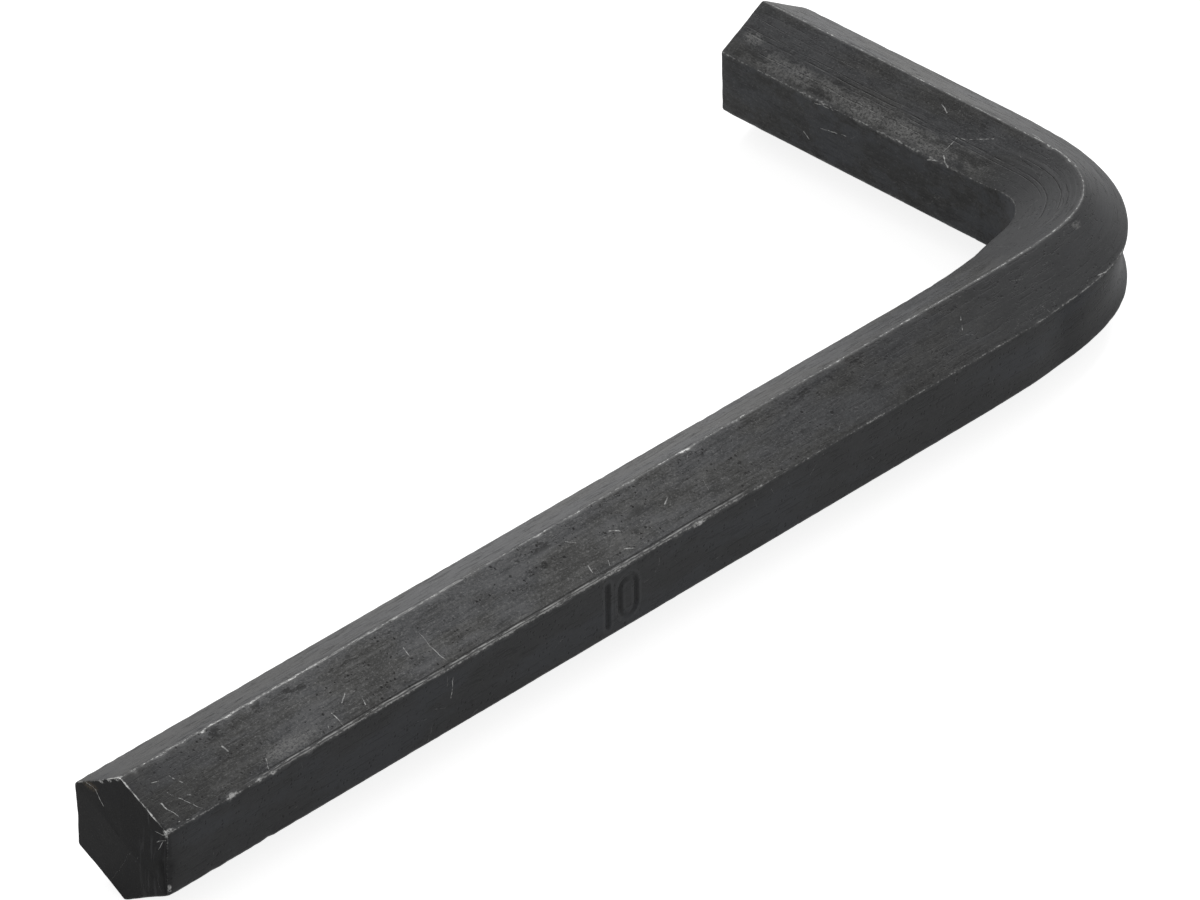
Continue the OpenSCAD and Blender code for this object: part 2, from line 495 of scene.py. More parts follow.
# %% The arc round a rim
def round_rim(gap_along, inset, radius):
    """Lays the wall and the end face on one arc. Gives the step inwards and the step along the bar."""
    wall_turn = math.pi / 4 * (1 - np.clip(gap_along / radius, 0, 1))
    face_turn = math.pi / 4 * (1 - np.clip(inset / radius, 0, 1))
    wall_in = radius * (1 - np.cos(wall_turn))
    wall_along = np.where(gap_along < radius, radius * (1 - np.sin(wall_turn)), gap_along)
    face_in = np.where(inset < radius, radius * (1 - np.sin(face_turn)), inset)
    face_along = radius * (1 - np.cos(face_turn))
    return (np.where(on_end, face_in - inset, wall_in),
            np.where(on_end, face_along, wall_along))


def round_values(angle, values):
    """A smooth value round the section from one value for each 30 degrees, starting on the outer side."""
    places = np.radians(np.arange(0, 360, 360 / len(values)))
    return np.interp(angle % (2 * math.pi), places, values, period=2 * math.pi)


section_angle = np.arctan2(upward, outward)
size_now = np.maximum(np.hypot(outward, upward), 0.01)
print("points near the long rim:", int((run < 1).sum()))

# %% [markdown]
# Then the face is leaned, the burr drawn out, and the wall near the tip drooped inwards. The two ends
# differ in how much of each they got, and in how worn their rims are.

# %% Sheared ends
SMALLEST_RADIUS = 0.03
RADIUS_CHANGE = 0.35
LEAN_RUN = 3
FACE_BUMPS = 0.02
BUMPS_FROM_RIM = 1.5
BURR_ON_FACE = 0.15
BURR_ON_WALL = 0.13
DROOP_DEPTH = 0.16
DROOP_RUN = 1.6
tip_bump = swell(0.0, 1.1, 12.3)
fine_bump = swell(0.0, 4.5, 21.9)


def shear_end(gap_along, radii, burr_round, droop_round, lean_out, lean_up, burr_high):
    """Shapes one end. Gives the new gap along the bar from the tip plane, the step inwards and the burr."""
    radius = round_values(section_angle, radii) * (1 + RADIUS_CHANGE * tip_bump)
    inwards, along = round_rim(gap_along, end_inset, np.maximum(radius, SMALLEST_RADIUS))
    fade = np.clip(1 - gap_along / LEAN_RUN, 0, 1) ** 2
    to_outer_upper = np.clip((outward / 2 + upward * math.cos(HALF_CORNER)) / half_mm, 0, 1)
    to_outer_ridge = np.clip(outward / half_mm, 0, 1) * np.clip(0.5 + upward / side_mm, 0, 1)
    lean = lean_out * to_outer_upper + lean_up * to_outer_ridge
    along = along + fade * (lean + FACE_BUMPS * tip_bump * np.clip(end_inset / BUMPS_FROM_RIM, 0, 1))
    burr = round_values(section_angle, burr_round) * np.clip(0.75 + 1.1 * fine_bump, 0.1, 1.6)
    burr = burr * np.clip(1 - end_inset / BURR_ON_FACE, 0, 1) * np.clip(1 - gap_along / BURR_ON_WALL, 0, 1)
    along = np.maximum(along - burr_high * burr, 0)
    droop = np.clip(1 - gap_along / DROOP_RUN, 0, 1) ** 2 * round_values(section_angle, droop_round)
    return along, inwards + DROOP_DEPTH * droop, burr


# one value for each 30 degrees round the section: outer upright flat, outer ridge, outer upper flat,
# top ridge, and so on over the top to the underside
LONG_RADII = (0.85, 0.24, 0.05, 0.06, 0.14, 0.10, 0.2, 0.12, 0.25, 0.2, 0.35, 0.35)
LONG_BURR = (0.0, 0.55, 0.85, 0.8, 0.3, 0.35, 0.0, 0.0, 0.0, 0.0, 0.0, 0.0)
LONG_DROOP = (0.9, 0.4, 0.15, 0.3, 0.4, 0.2, 0.5, 0.3, 0.4, 0.3, 0.6, 0.3)
LONG_RIM_WEAR = (0.08, 0.5, 1.0, 1.0, 0.7, 0.6, 0.2, 0.15, 0.2, 0.25, 0.1, 0.15)
SHORT_RADII = (0.3, 0.22, 0.2, 0.15, 0.22, 0.25, 0.25, 0.3, 0.3, 0.3, 0.35, 0.3)
SHORT_BURR = (0.0, 0.1, 0.0, 0.1, 0.25, 0.1, 0.0, 0.0, 0.0, 0.1, 0.0, 0.0)
SHORT_DROOP = (0.4, 0.5, 0.4, 0.4, 0.4, 0.4, 0.3, 0.3, 0.3, 0.4, 0.4, 0.4)
SHORT_RIM_WEAR = (0.3, 0.5, 0.6, 0.5, 0.4, 0.5, 0.4, 0.3, 0.3, 0.3, 0.3, 0.3)

near_long = run < full_mm / 2
gap_long = np.where(near_long, run, full_mm)
gap_short = np.where(near_long, full_mm, full_mm - run)
long_end = shear_end(
    gap_long, LONG_RADII, LONG_BURR, LONG_DROOP, lean_out=0.24, lean_up=0.12, burr_high=0.14)
short_end = shear_end(
    gap_short, SHORT_RADII, SHORT_BURR, SHORT_DROOP, lean_out=0.1, lean_up=0.12, burr_high=0.08)
end_along, step_in, burr_mask = np.where(near_long, long_end, short_end)
long_wear = round_values(section_angle, LONG_RIM_WEAR)
short_wear = round_values(section_angle, SHORT_RIM_WEAR)
rim_wear = np.where(near_long, long_wear, short_wear)
plain_run = run
plain_out = outward
plain_up = upward
run = np.where(near_long, end_along, full_mm - end_along)
outward = outward - step_in * outward / size_now
upward = upward - step_in * upward / size_now
print("tip leans back by up to, mm:", (run[on_end & near_long]).max().round(3))

# %% [markdown]
# Bending squeezes the section. The outer flat dishes in, the top and bottom ridges lean outward, the
# inner flat swells, and the outer side is drawn thin just before and after the bend. These are the
# curves of the plain model, with a third of a millimetre more piled up on the inner side, where the
# bar enters the bend, and a little less drawn in where it leaves it.

# %% Squeeze the bend and set every point in its place
# how far the squeeze reaches into each arm, and how much it sits towards the short arm
LEAD = 4.6
SKEW = 1.1
INNER_SQUEEZE = 0.95
RIDGE_LEAN = 0.7
OUTER_DISH = 0.4
SIDE_SWELL = 0.13
NECK_IN = 0.45
NECK_AT = 2
SECOND_NECK = 0.55
# height, middle and reach of each hump on the inner side, from the start of the lead
PILED_UP = ((0.65, 10.2, 10.2), (0.33, 7.5, 13.5))
TUCKED = 0.16
TUCKED_AT = 5
TUCKED_REACH = 12

bend_mm = BEND_RUN / MM
radius_mm = BEND_RADIUS / MM
sweep_mm = bend_mm + 2 * LEAD


def hump(distance, reach):
    """A smooth hump, 1 in its middle and 0 from its reach outwards."""
    return np.cos(math.pi / 2 * np.clip(distance / reach, -1, 1)) ** 2


def squeeze_and_place(run, outward, upward):
    """Gives the final points in metres for run, outward and upward lengths in millimetres."""
    along = run - LONG_RUN / MM + LEAD
    share = np.clip((along - LEAD) / bend_mm, 0, 1)
    amount = np.sin(math.pi * share ** SKEW) ** 2
    across = (outward + half_mm) / (2 * half_mm)
    to_outer = np.clip(across, 0, None) ** 3
    to_inner = np.clip(1 - across, 0, None) ** 3
    to_ridge = np.minimum(1, np.abs(upward) / (side_mm / 2))
    pushed = INNER_SQUEEZE * (1 - across ** 2) + RIDGE_LEAN * (upward / side_mm) ** 2
    dished = (OUTER_DISH * (1 - to_ridge ** 2) + RIDGE_LEAN / 4) * np.clip(across, 0, None) ** 8
    neck_reach = LEAD + NECK_AT
    first_neck = hump(along - neck_reach, neck_reach)
    second_neck = SECOND_NECK * hump(sweep_mm - neck_reach - along, neck_reach)
    drawn = NECK_IN * to_outer * (first_neck + second_neck)
    swollen = to_inner * sum(high * hump(along - middle, reach) for high, middle, reach in PILED_UP)
    lower = np.clip(-2 * upward / side_mm, 0, 1)
    tucked = TUCKED * to_outer * lower * hump(along - TUCKED_AT, TUCKED_REACH)
    new_out = outward + amount * (pushed - dished) - drawn - swollen - tucked
    new_up = upward * (1 - amount * SIDE_SWELL * outward / half_mm)
    angle = math.pi / 2 * share
    past = np.minimum(0, along - LEAD) + np.maximum(0, along - LEAD - bend_mm)
    reach = radius_mm + new_out
    x = BEND_X / MM + reach * np.sin(angle) + past * np.cos(angle)
    y = BEND_Y / MM - reach * np.cos(angle) + past * np.sin(angle)
    return np.column_stack((x, y, AXIS_HEIGHT / MM + new_up)) * MM


placed = squeeze_and_place(run, outward, upward)
placed = np.clip(placed, np.array(cad_low), np.array(cad_high))
bar.data.vertices.foreach_set("co", placed.ravel())
bar.data.update()
print("key now measures, mm:", ((placed.max(0) - placed.min(0)) / MM).round(3))

# %% [markdown]
# Each ridge has its own wear along the bar. The long arm's outer ridge and the short arm's inner ones
# are worn most, and the inner ridge at the bend isn't worn at all.

# %% How worn each ridge is along the bar
# run in millimetres and wear from 0 to 1 for each ridge, by its number round the section
RIDGE_WEAR = {
    0: ((0, 0.5), (8, 0.85), (20, 0.75), (30, 0.5), (37, 0.2), (44, 0.05), (51, 0.05), (54, 0.35),
        (62, 0.45), (70, 0.3), (90, 0.35), (98, 0.3), (108, 0.35), (114, 0.65), (118, 0.6), (125, 0.4),
        (140, 0.5), (150, 0.5)),
    1: ((0, 0.6), (3, 0.45), (8, 0.9), (12, 0.75), (20, 0.5), (35, 0.7), (42, 0.8), (55, 0.8), (60, 0.75),
        (70, 0.45), (85, 0.5), (95, 0.45), (103, 0.4), (110, 0.25), (150, 0.35)),
    -2: ((0, 0.3), (100, 0.2), (118, 0.4), (123, 1.0), (150, 0.9)),
    -1: ((0, 0.35), (60, 0.3), (94, 0.15), (99, 0.0), (119, 0.0), (123, 0.5), (126, 0.95), (139, 0.95),
         (150, 0.5)),
}
HIDDEN_RIDGE_WEAR = ((0, 0.35), (20, 0.2), (95, 0.3), (118, 0.3), (122, 0.5), (150, 0.45))


def wear_here(run, around):
    """Looks up the wear of the nearest ridge at each point."""
    nearest = np.round(around / side_mm)
    wear = np.zeros(len(run))
    for ridge in range(-3, 4):
        profile = np.array(RIDGE_WEAR.get(ridge, HIDDEN_RIDGE_WEAR))
        wear = np.where(nearest == ridge, np.interp(run, profile[:, 0], profile[:, 1]), wear)
    return wear


ridge_wear = np.where(on_end, 0, wear_here(plain_run, around))
print("mean wear along the ridges:", ridge_wear.mean().round(3))

# %% [markdown]
# The finish will read where it is from the mesh itself. One attribute keeps each point's place on the
# straight bar, so that streaks follow the bend. A UV map keeps the unrolled bar in millimetres, with
# the two ends beside it, so that one scratch can be put in one place. Two numbers give the gap to the
# nearest ridge and to the nearest tip. Five more are masks: how worn the nearest ridge and the rim of
# an end are, and where a ridge is knocked, a burr stands and the number is pressed in. A face that lies
# across the line where the map is cut open takes all its corners to one side.

# %% Attributes and unrolled map
FAR_FROM_RIDGE = 9
END_OFF_MAP = 20
SMOOTH_ANGLE = math.radians(40)


def keep_number(name, values):
    """Keeps one number for each point on the mesh."""
    layer = bar.data.attributes.new(name, "FLOAT", "POINT")
    layer.data.foreach_set("value", np.asarray(values, dtype=np.float32))


straight = bar.data.attributes.new("straight_place", "FLOAT_VECTOR", "POINT")
straight_place = np.column_stack((plain_run, plain_out, plain_up))
straight.data.foreach_set("vector", straight_place.astype(np.float32).ravel())
keep_number("ridge_gap", np.where(on_end, FAR_FROM_RIDGE, ridge_gap))
keep_number("tip_gap", np.where(on_end, end_inset, np.minimum(plain_run, full_mm - plain_run)))
keep_number("ridge_wear", ridge_wear)
keep_number("knocked", knocked)
keep_number("burr", np.clip(burr_mask, 0, 1))
keep_number("rim_wear", rim_wear)
keep_number("pressed", pressed - 0.5 * rim_rise)

loop_point = np.empty(len(bar.data.loops), dtype=np.int32)
bar.data.loops.foreach_get("vertex_index", loop_point)
face_count = len(bar.data.polygons)
loop_face = np.repeat(np.arange(face_count), [face.loop_total for face in bar.data.polygons])
corners = np.bincount(loop_face, minlength=face_count)
face_end = np.bincount(loop_face, on_end[loop_point], face_count) > 0
face_out = np.bincount(loop_face, plain_out[loop_point], face_count) / corners
face_up = np.bincount(loop_face, plain_up[loop_point], face_count) / corners
face_around = round_the_section(face_out, face_up)[0]
loop_around = around[loop_point]
turns = np.round((face_around[loop_face] - loop_around) / (6 * side_mm))
loop_around = loop_around + turns * 6 * side_mm
loop_on_end = face_end[loop_face]
end_middle = np.where(near_long[loop_point], -END_OFF_MAP, full_mm + END_OFF_MAP)
map_u = np.where(loop_on_end, end_middle + plain_out[loop_point], plain_run[loop_point])
map_v = np.where(loop_on_end, plain_up[loop_point], loop_around)
unrolled = bar.data.uv_layers.new(name="unrolled_mm")
unrolled.data.foreach_set("uv", np.column_stack((map_u, map_v)).astype(np.float32).ravel())
print("unrolled map spans, mm:", map_u.min().round(1), map_u.max().round(1),
      map_v.min().round(2), map_v.max().round(2))
bpy.ops.object.shade_smooth_by_angle(angle=SMOOTH_ANGLE)

# %% [markdown]
# The finish is a thin dark oxide over steel. It is built from a few effects, each one a node group with
# its own inputs, so that the same effect can be used twice with other values. Every group takes a
# place in millimetres and puts out a mask from 0 to 1. Small helpers keep the node code short. They all
# add to the node tree that is being built, which always has the name tree.

# %% Helpers for nodes
NODES_IN_ROW = 12
NODE_WIDE = 220
NODE_TALL = 260


def fill(socket, value):
    """Links a socket to another one, or gives it a value of its own."""
    if isinstance(value, bpy.types.NodeSocket):
        tree.links.new(value, socket)
    else:
        socket.default_value = value


def node(kind, values=None, **settings):
    """Adds a node, sets its settings, and links or fills its inputs."""
    made = tree.nodes.new("ShaderNode" + kind)
    row, column = divmod(len(tree.nodes), NODES_IN_ROW)
    made.location = (NODE_WIDE * column, -NODE_TALL * row)
    for name, value in settings.items():
        setattr(made, name, value)
    for socket, value in (values or {}).items():
        fill(made.inputs[socket], value)
    return made


def calc(operation, first, second=0.0, clamp=False):
    return node("Math", {0: first, 1: second}, operation=operation, use_clamp=clamp).outputs[0]


def calc_all(operation, first, *others):
    """Works through masks and numbers from left to right."""
    for other in others:
        first = calc(operation, first, other)
    return first


times = partial(calc_all, "MULTIPLY")
plus = partial(calc_all, "ADD")
largest = partial(calc_all, "MAXIMUM")
minus = partial(calc, "SUBTRACT")


def vector_calc(operation, first, second=(0, 0, 0)):
    """Works out a vector, or a number where the operation gives one."""
    made = node("VectorMath", {0: first, 1: second}, operation=operation)
    return made.outputs[1 if operation in ("DOT_PRODUCT", "LENGTH") else 0]


def scaled(vector, amount):
    return node("VectorMath", {0: vector, "Scale": amount}, operation="SCALE").outputs[0]


def smooth(value, start, end):
    """Goes smoothly from 0 at start to 1 at end, and the other way where start is the larger."""
    rising = start < end
    return node("MapRange", {
        "Value": value, "From Min": min(start, end), "From Max": max(start, end),
        "To Min": 0.0 if rising else 1.0, "To Max": 1.0 if rising else 0.0,
    }, interpolation_type="SMOOTHSTEP").outputs[0]


def noise_at(place, stretch, detail=3.0, roughness=0.55, seed=0.0):
    """Noise from 0 to 1 over a place in millimetres, with its own stretch along and across the bar."""
    start = (seed, seed * 0.37, -seed)
    moved = node("Mapping", {"Vector": place, "Scale": stretch, "Location": start}).outputs[0]
    made = node("TexNoise", {"Vector": moved, "Scale": 1.0, "Detail": detail, "Roughness": roughness})
    return made.outputs["Fac"]


def shaken(place, over, scale, detail, reach):
    """Moves a place by noise that runs over another place, so that no mark on it is a ruler line."""
    shake = node("TexNoise", {"Vector": over, "Scale": scale, "Detail": detail}).outputs["Color"]
    shake = vector_calc("SUBTRACT", shake, (0.5, 0.5, 0.5))
    return vector_calc("ADD", place, scaled(shake, reach))


def voronoi_cells(place, size, dimensions):
    """Cells of one size in millimetres. Gives their outputs, and three random numbers for each cell."""
    cells = node("TexVoronoi", {"Vector": place, "Scale": calc("DIVIDE", 1.0, size)},
                 voronoi_dimensions=dimensions).outputs
    return cells, node("SeparateColor", {0: cells["Color"]}).outputs


def mix_colour(mask, first, second):
    """Goes from the first colour to the second where the mask is."""
    made = node("Mix", {0: mask}, data_type="RGBA")
    for socket, value in ((made.inputs[6], first), (made.inputs[7], second)):
        fill(socket, (*value, 1) if isinstance(value, tuple) else value)
    return made.outputs[2]


def mix_value(mask, first, second):
    return node("Mix", {0: mask, 2: first, 3: second}, data_type="FLOAT").outputs[0]


def lay_over(under, mask, share, over):
    """Lays a colour over another one where the mask is, at most by the share."""
    return mix_colour(times(mask, share), under, over)


def new_group(name, inputs, outputs=("Mask",)):
    """Starts a node group. Inputs are names with their values, outputs are names of masks."""
    group = bpy.data.node_groups.new(name, "ShaderNodeTree")
    for label, value in inputs.items():
        kind = "NodeSocketVector" if isinstance(value, tuple) else "NodeSocketFloat"
        socket = group.interface.new_socket(name=label, in_out="INPUT", socket_type=kind)
        socket.default_value = value
    for label in outputs:
        group.interface.new_socket(name=label, in_out="OUTPUT", socket_type="NodeSocketFloat")
    start = group.nodes.new("NodeGroupInput")
    start.location = (-300, 0)
    end = group.nodes.new("NodeGroupOutput")
    end.location = (2800, 0)
    return group, start.outputs, end.inputs


def use_group(group, values):
    return node("Group", values, node_tree=group).outputs


# %% [markdown]
# Pits: small dark craters where scale was rolled in and fell out. A Voronoi pattern gives one point
# per cell, a share of the cells gets a pit, and its colour gives each pit its own size.

# %% Pits
pits_group, taken, given = new_group(
    "oxide_pits", {"Place": (0, 0, 0), "Cell": 1.0, "Share": 0.3, "Size": 0.2},
)
tree = pits_group
crooked = shaken(taken["Place"], taken["Place"], 2.6, 2.0, 0.35)
cells, chance = voronoi_cells(crooked, taken["Cell"], "3D")
chosen = calc("LESS_THAN", chance[0], taken["Share"])
distance = times(cells["Distance"], taken["Cell"])
reach = times(taken["Size"], plus(0.35, chance[1]))
hole = smooth(calc("DIVIDE", distance, reach), 1.0, 0.45)
tree.links.new(times(hole, chosen), given["Mask"])
print("pits group has", len(tree.nodes), "nodes")

# %% [markdown]
# Worn ridges: where the key was held and knocked, the oxide is gone from the ridge and bright steel
# shows in a thin broken line. The mask narrows and widens with a slow noise, and a fine one breaks it.
# A wider soft band along the ridge, the Rubbed mask, is partly rubbed oxide and partly a painted
# highlight where the rounded ridge catches the light.

# %% Worn and highlit ridges
WIDEST_WEAR = 0.13
WIDEST_KNOCK = 0.13

ridge_group, taken, given = new_group(
    "worn_and_highlit_ridges", {"Place": (0, 0, 0), "Gap": 1.0, "Wear": 0.5, "Knocked": 0.0}, ("Bare", "Rubbed"),
)
tree = ridge_group
slow = noise_at(taken["Place"], (0.8, 0.9, 0.9), detail=4.0, seed=4.0)
fine = noise_at(taken["Place"], (3.0, 6.5, 6.5), roughness=0.65, seed=9.0)
width = times(taken["Wear"], times(smooth(slow, 0.38, 0.68), WIDEST_WEAR))
width = plus(width, times(taken["Knocked"], WIDEST_KNOCK))
ragged_gap = plus(taken["Gap"], times(minus(fine, 0.5), 0.34))
edge = smooth(minus(ragged_gap, width), 0.04, -0.05)
broken = smooth(fine, 0.60, 0.42)
tree.links.new(times(edge, broken), given["Bare"])
# the Rubbed band is partly rubbed oxide and partly a painted highlight of the rounded ridge
wide = plus(times(width, 2.4), 0.03)
tree.links.new(smooth(minus(ragged_gap, wide), 0.22, -0.1), given["Rubbed"])
print("worn ridges group has", len(tree.nodes), "nodes")

# %% [markdown]
# Scratches come in two kinds. Fine ones lie all over in every direction: each Voronoi cell holds one
# short line with its own angle. The few long ones that catch the eye are placed one by one on the
# unrolled map, each from a start to an end, with a width in millimetres.

# %% Fine scratches
fine_scratch_group, taken, given = new_group(
    "fine_scratches", {"Place": (0, 0, 0), "Cell": 2.0, "Share": 0.4, "Width": 0.04},
)
tree = fine_scratch_group
curved = shaken(taken["Place"], taken["Place"], 0.9, 1.0, 0.5)
cells, chance = voronoi_cells(curved, taken["Cell"], "2D")
turn = times(chance[0], math.pi)
sine = calc("SINE", turn)
cosine = calc("COSINE", turn)
across_line = node("CombineXYZ", {0: sine, 1: times(cosine, -1.0)}).outputs[0]
along_line = node("CombineXYZ", {0: cosine, 1: sine}).outputs[0]
local = vector_calc("SUBTRACT", curved, cells["Position"])
off_line = calc("ABSOLUTE", vector_calc("DOT_PRODUCT", local, across_line))
on_line = calc("ABSOLUTE", vector_calc("DOT_PRODUCT", local, along_line))
length = times(taken["Cell"], times(chance[1], 0.45))
thin = calc("SUBTRACT", 1.0, calc("DIVIDE", off_line, taken["Width"]), clamp=True)
ends = smooth(minus(on_line, length), 0.05, -0.2)
chosen = calc("LESS_THAN", chance[2], taken["Share"])
tree.links.new(times(thin, ends, chosen), given["Mask"])
print("fine scratches group has", len(tree.nodes), "nodes")

# %% [markdown]
# A placed mark takes the mask of the marks before it and gives back the joint mask. Its place hangs on
# that mask by a thousandth of a micrometre, so that the renderer works the marks out one after another:
# it can't hold all of them at once.

# %% Placed strokes and patches
TINY_PULL = (0.000001, 0.000001, 0.0)


def after_the_marks_before(taken):
    """The place, pulled a tiny bit by the mask of the marks before."""
    return node("VectorMath", {0: taken["So far"], 1: TINY_PULL, 2: taken["Place"]},
                operation="MULTIPLY_ADD").outputs[0]


stroke_group, taken, given = new_group("placed_stroke", {
    "So far": 0.0, "Place": (0, 0, 0), "Start": (0, 0, 0), "End": (1, 0, 0), "Width": 0.1,
})
tree = stroke_group
way = vector_calc("SUBTRACT", taken["End"], taken["Start"])
from_start = vector_calc("SUBTRACT", after_the_marks_before(taken), taken["Start"])
long_way = vector_calc("DOT_PRODUCT", way, way)
share = calc("DIVIDE", vector_calc("DOT_PRODUCT", from_start, way), long_way, clamp=True)
far = vector_calc("LENGTH", vector_calc("SUBTRACT", from_start, scaled(way, share)))
line = calc("SUBTRACT", 1.0, calc("DIVIDE", far, taken["Width"]), clamp=True)
tree.links.new(largest(line, taken["So far"]), given["Mask"])

patch_group, taken, given = new_group("placed_patch", {
    "So far": 0.0, "Place": (0, 0, 0), "Middle": (0, 0, 0), "Reach": (1, 1, 1),
})
tree = patch_group
local = vector_calc("SUBTRACT", after_the_marks_before(taken), taken["Middle"])
far = vector_calc("LENGTH", vector_calc("DIVIDE", local, taken["Reach"]))
tree.links.new(largest(smooth(far, 1.0, 0.3), taken["So far"]), given["Mask"])


def place_strokes(place, strokes):
    """One mask of many strokes, each with a start, an end and a width in millimetres."""
    marks = 0.0
    for start_run, start_around, end_run, end_around, wide in strokes:
        marks = use_group(stroke_group, {
            "So far": marks, "Place": place,
            "Start": (start_run, start_around, 0), "End": (end_run, end_around, 0), "Width": wide,
        })["Mask"]
    return marks


def place_patches(place, patches):
    """One mask of many soft patches, each with its middle and its two reaches in millimetres."""
    marks = 0.0
    for at_run, at_around, long_reach, wide_reach in patches:
        marks = use_group(patch_group, {
            "So far": marks, "Place": place,
            "Middle": (at_run, at_around, 0), "Reach": (long_reach, wide_reach, 1),
        })["Mask"]
    return marks


# %% [markdown]
# Now the material itself. It reads the straight place and the unrolled map in millimetres, and the
# numbers that were kept on the mesh. The map is bent a little by noise for the marks that were made by
# hand and by chance.

# %% Blackened steel: where the material is
FLAT_BORDER = 0.12

steel = bpy.data.materials.new("blackened_steel")
steel.use_nodes = True
tree = steel.node_tree
shader = tree.nodes["Principled BSDF"]


def read_number(name):
    return node("Attribute", attribute_name=name).outputs["Fac"]


place = node("Attribute", attribute_name="straight_place").outputs["Vector"]
unrolled_place = node("UVMap", uv_map="unrolled_mm").outputs["UV"]
gap_to_ridge = read_number("ridge_gap")
gap_to_tip = read_number("tip_gap")
knocked_here = read_number("knocked")
wear_of_ridge = read_number("ridge_wear")
burr_here = read_number("burr")
pressed_here = read_number("pressed")
wear_of_rim = read_number("rim_wear")
split = node("SeparateXYZ", {0: unrolled_place}).outputs
map_run = split[0]
map_around = split[1]
crooked_place = shaken(unrolled_place, place, 1.1, 2.0, 0.3)


def within(value, start, end, soft):
    """1 between start and end, with a soft border."""
    rise = smooth(value, start - soft, start + soft)
    return times(rise, smooth(value, end + soft, end - soft))


def along_run(start, end, soft):
    return within(map_run, start, end, soft)


def on_flat(number):
    """1 on one flat. Flats 0 and 1 lie outside of the top ridge, flats -1 and -2 inside of it."""
    return within(map_around, number * side_mm, (number + 1) * side_mm, FLAT_BORDER)


on_walls = along_run(-1, full_mm + 1, 0.5)
on_ends = minus(1.0, on_walls)
on_outer_upper = on_flat(0)
on_inner_upper = on_flat(-1)
on_outer_upright = on_flat(1)
on_inner_upright = on_flat(-2)
print("material so far has", len(tree.nodes), "nodes")

# %% [markdown]
# All tones in one place, from the darkest oxide to bright steel, with the painted highlights of the ridges
# and the painted shade beside the cut among them.

# %% Tones of the oxide and of the steel
DARK_OXIDE = (0.0125, 0.0125, 0.0125)
DARK_OXIDE_COOL = (0.0105, 0.0108, 0.0122)
GREY_OXIDE = (0.041, 0.0405, 0.039)
GREY_OXIDE_COOL = (0.034, 0.035, 0.0375)
RUBBED_OXIDE = (0.127, 0.1265, 0.1245)
RUBBED_OXIDE_COOL = (0.113, 0.114, 0.117)
BLUE_OXIDE = (0.042, 0.046, 0.054)
BLACK_OXIDE = (0.011, 0.011, 0.012)
CUT_FACE = (0.017, 0.017, 0.0175)
# painted shade on the outer upright flat beside the long cut face
PAINTED_SHADE_BESIDE_CUT = (0.013, 0.013, 0.0135)
DRAG_MARK = (0.06, 0.06, 0.062)
STAMP_FLOOR = (0.006, 0.006, 0.0065)
STAMP_RIM = (0.062, 0.063, 0.066)
LIGHT_STREAK = (0.13, 0.13, 0.132)
DARK_MARK = (0.011, 0.011, 0.011)
LIGHT_GRAIN = (0.22, 0.22, 0.215)
DIE_LINE = (0.008, 0.008, 0.008)
DARK_LINE = (0.009, 0.009, 0.009)
# partly worn steel, partly a painted highlight of the rounded ridge
WORN_AND_HIGHLIT_LINE = (0.50, 0.50, 0.49)
SCUFFED = (0.192, 0.191, 0.187)
BROWN_STAIN = (0.10, 0.083, 0.062)
# partly rubbed oxide, partly a painted highlight of the rounded ridges
RUBBED_AND_HIGHLIT_EDGE = (0.15, 0.15, 0.15)
DULL_STEEL = (0.14, 0.14, 0.14)
WORN_STEEL = (0.48, 0.48, 0.47)
BRIGHT_STEEL = (0.66, 0.66, 0.65)
print("bright steel is", round(BRIGHT_STEEL[0] / DARK_OXIDE[0]), "times as light as dark oxide")

# %% [markdown]
# The oxide isn't one grey. Wide clouds of darker and greyer oxide, streaks drawn out along the bar,
# and a fine grain lie over each other. The upper outer flat of the long arm was handled and rubbed
# most, and is the greyest. The bend and the sheared end kept the darkest coat.

# %% Clouds, streaks and grain of the oxide
clouds = noise_at(place, (0.10, 0.30, 0.30), 4.0, 0.6, seed=2.0)
blotches = noise_at(place, (0.45, 0.8, 0.8), 4.0, 0.68, seed=7.0)
streaks = noise_at(place, (0.12, 3.2, 3.2), 4.0, 0.6, seed=11.0)
grain = noise_at(place, (4.2, 6.0, 6.0), 4.0, 0.75, seed=15.0)
mixed = plus(times(clouds, 0.24), times(blotches, 0.26))
mixed = plus(mixed, times(streaks, 0.18))
mixed = plus(mixed, times(grain, 0.32))
even_tone = smooth(mixed, 0.33, 0.67)
tone = smooth(mixed, 0.40, 0.60)
calm = largest(times(on_outer_upper, along_run(90, 123, 7)), times(on_inner_upper, along_run(98, 119, 3)))
calm = largest(calm, on_outer_upright)
tone = mix_value(times(calm, 0.7), tone, 0.5)
even_tone = mix_value(times(calm, 0.55), even_tone, 0.45)

# flat, start and end of the handled stretch, width of its soft border, and how greyed it is
HANDLED = (
    (on_inner_upper, 26, 94, 10, 0.54), (on_inner_upper, 94, 122, 4, 0.34),
    (on_inner_upper, 122, 152, 4, 0.24), (on_outer_upper, 122, 152, 6, 0.66),
    (on_outer_upper, 84, 120, 6, 0.08), (on_inner_upright, 118, 152, 4, 0.16),
)
rubbed_flat = times(on_outer_upper, times(smooth(map_run, -2, 16), smooth(map_run, 90, 46)))
rubbed_share = times(rubbed_flat, 0.92)
for flat_mask, start, end, soft, share in HANDLED:
    rubbed_share = plus(rubbed_share, times(flat_mask, along_run(start, end, soft), share))
cool = largest(smooth(clouds, 0.42, 0.6), times(calm, 0.8))
dark_oxide = mix_colour(cool, DARK_OXIDE, DARK_OXIDE_COOL)
grey_oxide = mix_colour(cool, GREY_OXIDE, GREY_OXIDE_COOL)
rubbed_oxide = mix_colour(cool, RUBBED_OXIDE, RUBBED_OXIDE_COOL)
plain_oxide = mix_colour(even_tone, dark_oxide, grey_oxide)
greyed_oxide = mix_colour(tone, grey_oxide, rubbed_oxide)
colour = mix_colour(rubbed_share, plain_oxide, greyed_oxide)
print("material so far has", len(tree.nodes), "nodes")
